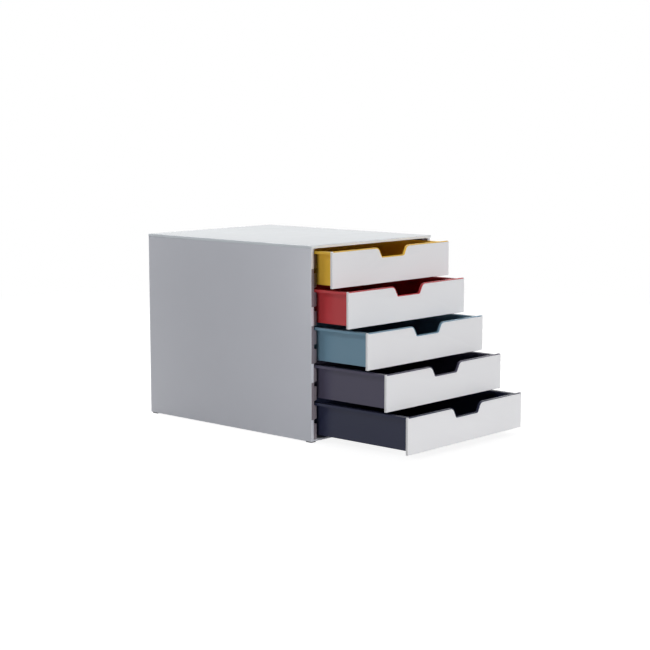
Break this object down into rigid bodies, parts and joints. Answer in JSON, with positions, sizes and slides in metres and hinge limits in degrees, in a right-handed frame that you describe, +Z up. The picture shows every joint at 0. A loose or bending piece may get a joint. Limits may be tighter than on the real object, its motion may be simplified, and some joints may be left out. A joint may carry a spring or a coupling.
{
  "type": "drawer tower",
  "caption": "Free-standing desk-top tower with a pale moulded housing and stacked pull-out trays in graded colours, each with a white front and a finger cut-out.",
  "frame": {"origin": "centre of the housing's base, in the plane that the four feet stand on", "axes": "+Z up; the drawers pull out towards -Y; +X is to the right of someone who faces the fronts"},
  "size_m": [0.28, 0.5361, 0.292],
  "materials": {
    "housing_shell": "light cool grey moulded polystyrene, glossy outside",
    "runner_liner": "mid cool grey moulded polystyrene, semi-gloss",
    "top_shell": "off-white moulded polystyrene, glossy",
    "foot_pad": "dark grey matt rubber",
    "front_shell": "white moulded polystyrene, smooth semi-gloss",
    "tray_yellow": "warm yellow moulded polystyrene, semi-gloss",
    "tray_red": "strawberry red moulded polystyrene, semi-gloss",
    "tray_blue_grey": "blue-grey moulded polystyrene, semi-gloss",
    "tray_violet_grey": "violet-grey moulded polystyrene, semi-gloss",
    "tray_dark_slate": "dark slate moulded polystyrene, semi-gloss"
  },
  "bodies": {
    "housing": {"side_panel_left": "housing_shell", "side_panel_right": "housing_shell", "runner_left": "runner_liner", "runner_right": "runner_liner", "top_panel": "top_shell", "bottom_panel": "housing_shell", "back_panel": "housing_shell", "foot_front_left": "foot_pad", "foot_front_right": "foot_pad", "foot_back_left": "foot_pad", "foot_back_right": "foot_pad"},
    "drawer_1": {"tray_1": "tray_yellow", "front_1": "front_shell"},
    "drawer_2": {"tray_2": "tray_red", "front_2": "front_shell"},
    "drawer_3": {"tray_3": "tray_blue_grey", "front_3": "front_shell"},
    "drawer_4": {"tray_4": "tray_violet_grey", "front_4": "front_shell"},
    "drawer_5": {"tray_5": "tray_dark_slate", "front_5": "front_shell"}
  },
  "joints": [
    {"name": "drawer_1_slide", "type": "slide", "parent": "housing", "child": "drawer_1", "axis": [0, -1, 0], "range_m": [-0.0355, 0.2145]},
    {"name": "drawer_2_slide", "type": "slide", "parent": "housing", "child": "drawer_2", "axis": [0, -1, 0], "range_m": [-0.0665, 0.1835]},
    {"name": "drawer_3_slide", "type": "slide", "parent": "housing", "child": "drawer_3", "axis": [0, -1, 0], "range_m": [-0.103, 0.147]},
    {"name": "drawer_4_slide", "type": "slide", "parent": "housing", "child": "drawer_4", "axis": [0, -1, 0], "range_m": [-0.138, 0.112]},
    {"name": "drawer_5_slide", "type": "slide", "parent": "housing", "child": "drawer_5", "axis": [0, -1, 0], "range_m": [-0.1775, 0.0725]}
  ]
}
